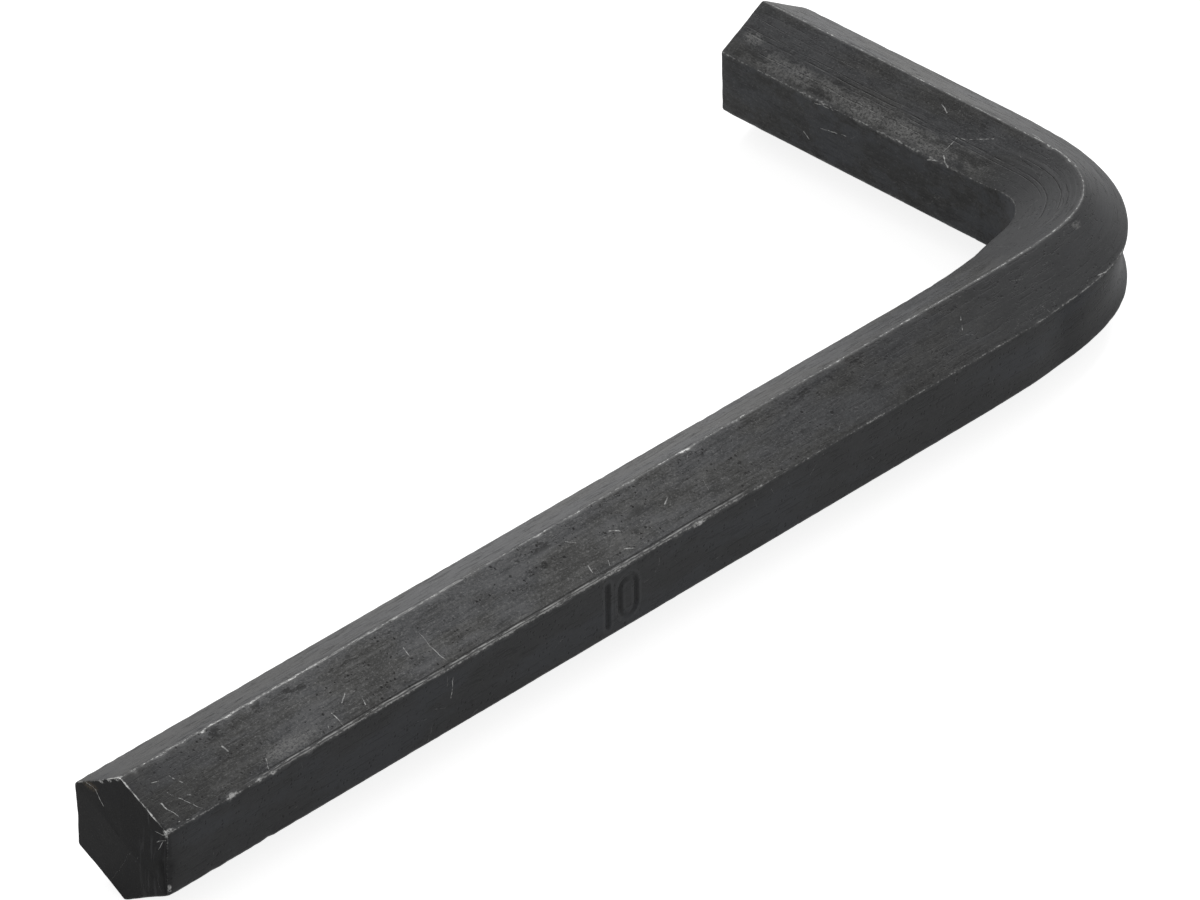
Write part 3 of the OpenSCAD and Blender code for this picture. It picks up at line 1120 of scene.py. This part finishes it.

# %% [markdown]
# Some places have a tone of their own. The two upright flats show blue and black clouds, the cut faces
# are nearly black with a few lighter drag marks, and the number is dark at the bottom of its strokes
# and light where the steel rose beside them. The outer upright flat gets a painted shade for a few
# millimetres beside the long cut face, in place of the shading of its soft rolled edge.

# %% Blue clouds, cut faces, painted shade beside the cut, and the number
# middle and two reaches on the unrolled map, in millimetres
BLUE_PLACES = ((145.4, -8.2, 4.6, 1.9), (136.4, -8.7, 3.6, 1.1))
DARK_PLACES = ((137.9, -7.5, 1.1, 0.6), (129.0, -8.1, 5.5, 2.0))

blue_clouds = times(on_inner_upright, smooth(blotches, 0.45, 0.58))
outer_clouds = times(smooth(clouds, 0.46, 0.62), 0.7)
blue_clouds = plus(blue_clouds, times(on_outer_upright, outer_clouds))
dark_clouds = times(on_inner_upright, smooth(blotches, 0.47, 0.37))
blue_places = place_patches(unrolled_place, BLUE_PLACES)
dark_places = place_patches(unrolled_place, DARK_PLACES)
blue_clouds = times(largest(blue_clouds, blue_places), smooth(tone, -0.3, 0.6))
dark_clouds = largest(dark_clouds, dark_places)
colour = lay_over(colour, blue_clouds, 0.5, BLUE_OXIDE)
colour = lay_over(colour, dark_clouds, 0.4, BLACK_OXIDE)

colour = lay_over(colour, on_ends, 0.8, CUT_FACE)
# painted shade: the outer upright flat is made darker towards the long cut face, standing in for the
# shading of its rolled edge
painted_shade_beside_cut = times(on_outer_upright, smooth(map_run, 3.6, 0.2))
colour = lay_over(colour, painted_shade_beside_cut, 0.65, PAINTED_SHADE_BESIDE_CUT)
drag_noise = noise_at(unrolled_place, (2.6, 0.3, 1.0), 3.0, 0.6, seed=53.0)
dragged_places = largest(along_run(-18, -15, 0.5), along_run(full_mm + 15, full_mm + 23, 1.0))
dragged = times(smooth(drag_noise, 0.5, 0.66), dragged_places)
colour = lay_over(colour, dragged, 0.6, DRAG_MARK)
colour = lay_over(colour, smooth(pressed_here, 0.0, 0.8), 0.4, STAMP_FLOOR)
colour = lay_over(colour, smooth(pressed_here, -0.05, -0.4), 0.35, STAMP_RIM)

# %% [markdown]
# Pits lie in clusters, most of them on the rubbed flat. Dark dashes and light streaks run along the
# flats that were rubbed less. Light grains stand where the oxide is worn off the peaks of the steel.

# %% Pits, dashes, grains and fine scratches
DASHED_BEND = ((108.5, -1.5, 6.5, 1.7), (116.0, -2.2, 5.0, 1.2))
SPECKLED = ((119.5, -4.9, 5.0, 1.2), (66.0, 0.9, 4.0, 0.8), (97.0, 4.9, 6.0, 0.9))
SCRATCH_WIDTH = 0.045


def pits(cell, share, size):
    return use_group(pits_group, {"Place": place, "Cell": cell, "Share": share, "Size": size})["Mask"]


def fine_scratches(over, cell, share):
    return use_group(fine_scratch_group, {
        "Place": over, "Cell": cell, "Share": share, "Width": SCRATCH_WIDTH,
    })["Mask"]


small_pits = pits(0.34, 0.4, 0.125)
large_pits = pits(1.1, 0.3, 0.32)
pit_clusters = smooth(noise_at(place, (0.16, 0.45, 0.45), seed=21.0), 0.42, 0.58)
pit_share = times(pit_clusters, plus(0.3, times(rubbed_flat, 0.7)))
small_pits = times(small_pits, calc("ADD", 0.25, pit_share, clamp=True))
large_pits = times(large_pits, pit_share)
all_pits = times(largest(small_pits, times(large_pits, 0.8)), on_walls)
beside_ridge = times(within(map_around, 0.3, 1.4, 0.35), smooth(blotches, 0.53, 0.63))
beside_ridge = times(beside_ridge, along_run(6, 84, 4))
dark_marks = largest(all_pits, times(beside_ridge, 0.8))

dash_noise = noise_at(place, (0.45, 4.6, 4.6), 3.0, 0.6, seed=41.0)
dashes = times(smooth(dash_noise, 0.55, 0.64), on_walls)
bend_dashes = times(place_patches(unrolled_place, DASHED_BEND), 0.45)
dash_flats = times(on_inner_upper, along_run(4, 96, 4), 0.65)
dash_flats = largest(dash_flats, bend_dashes)
dash_flats = largest(dash_flats, times(on_outer_upper, along_run(112, 149, 4), 0.7))
dashes = times(dashes, plus(0.25, times(dash_flats, 0.75)))
dark_marks = largest(dark_marks, dashes)
light_streaks = times(smooth(streaks, 0.54, 0.66), dash_flats)
colour = lay_over(colour, light_streaks, 0.5, LIGHT_STREAK)
colour = lay_over(colour, dark_marks, 0.85, DARK_MARK)

speckled = place_patches(unrolled_place, SPECKLED)
light_grains = times(smooth(grain, 0.57, 0.68), plus(0.2, rubbed_share))
light_grains = times(light_grains, minus(1.0, times(calm, 0.8)))
light_grains = largest(light_grains, times(speckled, smooth(grain, 0.60, 0.68)))
colour = lay_over(colour, light_grains, 0.55, LIGHT_GRAIN)

scratches = largest(fine_scratches(unrolled_place, 1.9, 0.2), fine_scratches(crooked_place, 7.5, 0.4))
scratches = times(scratches, smooth(grain, 0.42, 0.6))
print("material so far has", len(tree.nodes), "nodes")

# %% [markdown]
# The marks that can be seen from a step away are placed one by one on the unrolled map, with all
# lengths in millimetres. On the ends, the run counts from 20 mm beyond the map.

# %% Placed marks
# start, end and width
BRIGHT_STROKES = (
    (3.7, 1.88, 4.3, 3.02, 0.045), (2.6, 2.96, 4.3, 5.6, 0.03), (1.5, 3.44, 1.6, 4.0, 0.08),
    (1.6, 4.0, 2.0, 5.0, 0.035), (1.8, 1.58, 2.7, 1.82, 0.035), (9.1, 2.0, 9.2, 2.5, 0.10),
    (3.9, 3.9, 4.1, 4.0, 0.05), (1.7, 5.4, 2.7, 5.6, 0.04), (46.0, 1.7, 46.7, 2.12, 0.06),
    (49.8, 2.6, 50.7, 3.2, 0.05), (55.7, 3.08, 56.4, 2.72, 0.06), (46.2, 4.22, 46.1, 4.94, 0.07),
    (48.0, 4.7, 47.8, 5.05, 0.06), (49.9, 4.52, 50.6, 4.82, 0.05), (20.1, 3.74, 20.8, 3.3, 0.07),
    (18.8, 4.1, 18.9, 5.6, 0.05), (22.6, 4.16, 22.5, 4.82, 0.05), (27.7, 2.42, 27.7, 3.32, 0.04),
    (29.8, 1.64, 29.8, 3.56, 0.03), (29.8, 3.56, 30.1, 5.18, 0.035), (30.3, 6.2, 29.9, 8.5, 0.05),
    (21.8, 4.28, 21.7, 4.82, 0.05), (17.8, 4.76, 17.6, 5.3, 0.04), (11.5, 4.52, 11.1, 5.36, 0.04),
    (128.0, -1.18, 127.1, -1.6, 0.06), (123.0, -2.5, 121.6, -1.78, 0.04),
    (125.9, -6.1, 124.8, -5.74, 0.07), (124.6, -5.08, 123.6, -5.86, 0.08),
    (124.8, -4.78, 124.7, -3.22, 0.04), (124.7, -3.22, 123.3, -2.74, 0.04),
    (140.1, -9.58, 139.5, -9.94, 0.08), (138.1, -8.32, 135.2, -7.84, 0.05),
    (138.8, -6.1, 136.7, -5.95, 0.06), (89.6, 3.1, 90.3, 2.0, 0.04), (103.3, 5.5, 104.1, 5.84, 0.07),
    (119.3, 0.7, 118.2, 0.4, 0.07), (-23.65, 3.5, -22.71, 3.36, 0.05),
    (-22.71, 3.36, -21.93, 2.23, 0.05), (-15.2, 2.2, -16.1, 1.6, 0.04), (-15.3, 2.5, -16.3, 2.5, 0.04),
    (-15.5, 1.9, -15.9, 1.0, 0.035),
)
bright_marks = place_strokes(crooked_place, BRIGHT_STROKES)
bright_marks = times(bright_marks, smooth(grain, 0.32, 0.5))

# %% [markdown]
# The die that the bar was drawn through left long dark lines, which show best round the bend. They
# wobble a little, and break off here and there. Beside the outer and the top ridge of the long arm lie a
# dark rubbed line on the flat, and thin light lines that are partly oxide worn nearly away and partly a
# painted highlight of the rounded ridge.

# %% Lines along the bar
# place round the section, start, end and half width in millimetres
DIE_LINES = (
    (-3.2, 106, 148, 0.06), (-3.6, 112, 137, 0.04), (-2.05, 107, 118, 0.04), (-4.4, 128, 147, 0.04),
    (-2.75, 130, 149, 0.035), (-1.7, 138, 149, 0.03),
)
DARK_RIDGE_LINE = (side_mm - 0.42, 10, 63, 0.06)
# thin light lines beside the ridges: partly worn oxide, partly a painted highlight of the rounded ridge
WORN_AND_HIGHLIT_RIDGE_LINES = (
    (side_mm - 0.26, 10, 62, 0.055), (side_mm - 0.06, 12, 58, 0.05), (0.10, 9, 36, 0.05),
    (-0.06, 15, 37, 0.04),
)


def line_along(over, at, start, end, reach, core, soft):
    """A line along the bar: 1 as far as its core on both sides, and 0 from its reach outwards."""
    off = calc("ABSOLUTE", minus(over, at))
    return times(smooth(off, reach, core), along_run(start, end, soft))


def ridge_line(at, start, end, half_wide):
    return line_along(beside_ridges, at, start, end, half_wide * 1.5, half_wide * 0.4, 3)


die_wobble = times(minus(noise_at(place, (0.12, 0.1, 0.1), 2.0, seed=31.0), 0.5), 0.8)
die_broken = smooth(noise_at(place, (0.6, 0.3, 0.3), seed=35.0), 0.40, 0.56)
beside_die = plus(map_around, die_wobble)
die_marks = 0.0
for at, start, end, half_wide in DIE_LINES:
    line = line_along(beside_die, at, start, end, half_wide * 1.6, half_wide * 0.3, 1.5)
    die_marks = largest(die_marks, line)
die_marks = times(die_marks, plus(0.25, times(die_broken, 0.75)))
colour = lay_over(colour, die_marks, 0.85, DIE_LINE)

beside_ridges = plus(map_around, times(die_wobble, 0.12))
strands = noise_at(place, (0.55, 6.0, 6.0), 3.0, 0.7, seed=47.0)
dark_line = times(ridge_line(*DARK_RIDGE_LINE), smooth(streaks, 0.36, 0.46))
# painted highlight of the rounded ridges, partly worn oxide
worn_and_highlit_line = 0.0
for line in WORN_AND_HIGHLIT_RIDGE_LINES:
    worn_and_highlit_line = largest(worn_and_highlit_line, ridge_line(*line))
worn_and_highlit_line = times(worn_and_highlit_line, smooth(strands, 0.45, 0.56))
colour = lay_over(colour, dark_line, 0.85, DARK_LINE)
colour = lay_over(colour, worn_and_highlit_line, 0.9, WORN_AND_HIGHLIT_LINE)

# %% [markdown]
# Light scuffed patches lie on the short arm, where it was gripped. Bright knots mark the places where
# an edge was knocked, and the long end carries one brown stain.

# %% Scuffed patches, bright knots and a stain
# middle and two reaches on the unrolled map, in millimetres
LIGHT_PATCHES = (
    (134.0, -4.7, 4.2, 1.3), (129.5, -4.7, 3.8, 1.2), (126.2, -5.1, 2.6, 0.8), (147.8, -3.4, 1.4, 0.8),
    (141.5, -4.2, 2.2, 0.8), (105.7, 0.92, 0.7, 0.45), (14.0, 4.6, 4.0, 0.9),
)
BRIGHT_KNOTS = (
    (-20.38, 5.45, 0.45, 0.2), (0.1, -0.3, 0.3, 0.4), (0.35, 5.6, 0.7, 0.22), (-15.25, 2.75, 0.3, 0.45),
    (7.0, 5.75, 0.6, 0.4), (9.9, 5.8, 0.35, 0.3), (11.3, 5.8, 0.3, 0.3), (0.2, 10.9, 0.3, 0.45),
    (8.6, 0.15, 0.35, 0.25), (11.3, 0.1, 0.4, 0.2), (13.8, 0.1, 0.4, 0.2), (60.5, 0.05, 0.9, 0.25),
    (57.2, 5.9, 1.0, 0.25), (-22.2, 4.4, 0.5, 0.2), (-23.9, 3.75, 0.45, 0.18), (-21.2, 4.95, 0.35, 0.2),
)
BROWN_PLACES = ((-23.3, 3.4, 1.1, 0.55),)

patches = place_patches(crooked_place, LIGHT_PATCHES)
scuffed_band = times(within(map_around, -5.5, -3.7, 0.45), along_run(121, 147, 3))
scuffed_band = times(scuffed_band, smooth(blotches, 0.44, 0.56))
patches = largest(patches, times(scuffed_band, 0.7))
patches = times(patches, smooth(grain, 0.36, 0.60))
colour = lay_over(colour, patches, 0.75, SCUFFED)
knots = place_patches(crooked_place, BRIGHT_KNOTS)
knots = times(knots, smooth(grain, 0.42, 0.54))
stain = place_patches(crooked_place, BROWN_PLACES)
stain = times(stain, smooth(grain, 0.36, 0.56))
colour = lay_over(colour, stain, 0.8, BROWN_STAIN)

# %% [markdown]
# Bare steel comes last, because it lies over all the oxide. It is dull and broken on the worn ridges,
# the rims and in the fine scratches, and bright on the burr, in the placed marks and on the knots. A soft
# light band along every ridge is partly rubbed oxide and partly a painted highlight of the rounded ridge.

# %% Bare steel on ridges and in scratches
worn = use_group(ridge_group, {
    "Place": place, "Gap": gap_to_ridge, "Wear": wear_of_ridge, "Knocked": knocked_here,
})
burr_line = times(smooth(burr_here, 0.18, 0.55), smooth(grain, 0.34, 0.46))
rim_line = times(smooth(gap_to_tip, 0.13, 0.02), smooth(grain, 0.46, 0.60))
rim_line = times(rim_line, wear_of_rim)
bare = largest(times(worn["Bare"], 0.8), times(rim_line, 0.7))
bare = largest(bare, times(scratches, 0.25))
bright = largest(times(burr_line, 0.9), times(bright_marks, 0.9))
bright = largest(bright, times(knots, 0.7))
# a soft light band along every ridge: partly rubbed oxide, partly a painted highlight of the rounded ridge
rubbed_and_highlit_edge = times(worn["Rubbed"], times(grain, 0.7))
colour = mix_colour(rubbed_and_highlit_edge, colour, RUBBED_AND_HIGHLIT_EDGE)
worn_steel = mix_colour(smooth(grain, 0.4, 0.62), DULL_STEEL, WORN_STEEL)
colour = mix_colour(bare, colour, worn_steel)
colour = mix_colour(bright, colour, BRIGHT_STEEL)
bare = largest(bare, bright)

# %% [markdown]
# The same masks decide how glossy and how high the surface is. Dark marks are dull and lie a few
# hundredths of a millimetre deep, and bare steel is a little smoother than the oxide. The cut faces and
# the outside of the bend hardly shine.

# %% Gloss and relief
STEEL_ROUGHNESS = 0.38
STEEL_METALLIC = 0.4
MARK_DEPTHS = ((dark_marks, 0.03), (die_marks, 0.03), (scratches, 0.008))

gloss = plus(0.40, times(tone, 0.12))
gloss = plus(gloss, times(dark_marks, 0.15))
gloss = mix_value(bare, gloss, STEEL_ROUGHNESS)
height = plus(times(grain, 0.012), times(streaks, 0.010))
height = times(height, minus(1.0, times(calm, 0.5)))
for marks, depth in MARK_DEPTHS:
    height = minus(height, times(marks, depth))
relief = node("Bump", {"Height": height, "Distance": MM, "Strength": 1.0}).outputs[0]
metal = times(bare, STEEL_METALLIC)
shine = plus(0.19, times(tone, 0.09))
shine = mix_value(times(dark_marks, 0.6), shine, 0.05)
shine = mix_value(times(on_ends, 0.8), shine, 0.04)
outer_bend = times(on_outer_upright, along_run(98, 122, 3))
shine = mix_value(times(outer_bend, 0.8), shine, 0.08)
tree.links.new(colour, shader.inputs["Base Color"])
tree.links.new(gloss, shader.inputs["Roughness"])
tree.links.new(metal, shader.inputs["Metallic"])
tree.links.new(relief, shader.inputs["Normal"])
tree.links.new(shine, shader.inputs["Specular IOR Level"])
bar.data.materials.clear()
bar.data.materials.append(steel)
print("blackened steel has", len(tree.nodes), "nodes")

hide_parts("hex_key")
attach(bar, "root")

# %% [markdown]
# The stage is a white floor under an even white studio. The floor and the world are white to the
# camera and to reflections. What lights the key is softer: a dim world, and one large lamp above and
# behind it, so that the flats that face away from the camera are the light ones.

# %% Floor
FLOOR_SIZE = 8
FLOOR_COLOUR = (0.58, 0.58, 0.58)
FLOOR_SEEN_GLOW = 0.84
FLOOR_REFLECTED_GLOW = 0.42
WHITE = (1, 1, 1, 1)

bpy.ops.object.select_all(action="DESELECT")
bpy.ops.mesh.primitive_plane_add(size=FLOOR_SIZE, location=(0, 0, 0))
floor = bpy.context.object
floor.name = "floor"
paper = bpy.data.materials.new("white_floor")
paper.use_nodes = True
tree = paper.node_tree
tree.nodes.clear()
path = node("LightPath").outputs
reflected = largest(path["Is Glossy Ray"], path["Is Transmission Ray"])
glow_now = plus(times(path["Is Camera Ray"], FLOOR_SEEN_GLOW), times(reflected, FLOOR_REFLECTED_GLOW))
matt = node("BsdfDiffuse", {"Color": (*FLOOR_COLOUR, 1)})
glow = node("Emission", {"Color": WHITE, "Strength": glow_now})
both = node("AddShader", {0: matt.outputs[0], 1: glow.outputs[0]})
node("OutputMaterial", {"Surface": both.outputs[0]})
floor.data.materials.append(paper)
print("floor material has", len(tree.nodes), "nodes")

# %% [markdown]
# The world is pure white where it is seen, and dimmer as a light. The lamp stands behind the key and to
# its right, and looks at the middle of it.

# %% World and lamp
WORLD_LIGHT = 0.46
LAMP_PLACE = Vector((0.85, 0.52, 1.15))
LAMP_POWER = 13
LAMP_SIZE = 0.9

world = bpy.data.worlds.new("studio")
bpy.context.scene.world = world
world.use_nodes = True
tree = world.node_tree
path = node("LightPath").outputs
seen = largest(path["Is Camera Ray"], path["Is Glossy Ray"], path["Is Transmission Ray"])
background = tree.nodes["Background"]
fill(background.inputs["Strength"], mix_value(seen, WORLD_LIGHT, 1.0))
fill(background.inputs["Color"], WHITE)

bpy.ops.object.light_add(type="AREA", location=LAMP_PLACE)
lamp = bpy.context.object
lamp.name = "large_soft_lamp"
lamp.data.energy = LAMP_POWER
lamp.data.size = LAMP_SIZE
lamp.rotation_mode = "QUATERNION"
lamp.rotation_quaternion = LAMP_PLACE.to_track_quat("Z", "Y")
bpy.context.scene.view_settings.view_transform = "Standard"
print("lamp stands at, m:", [round(v, 2) for v in lamp.location])
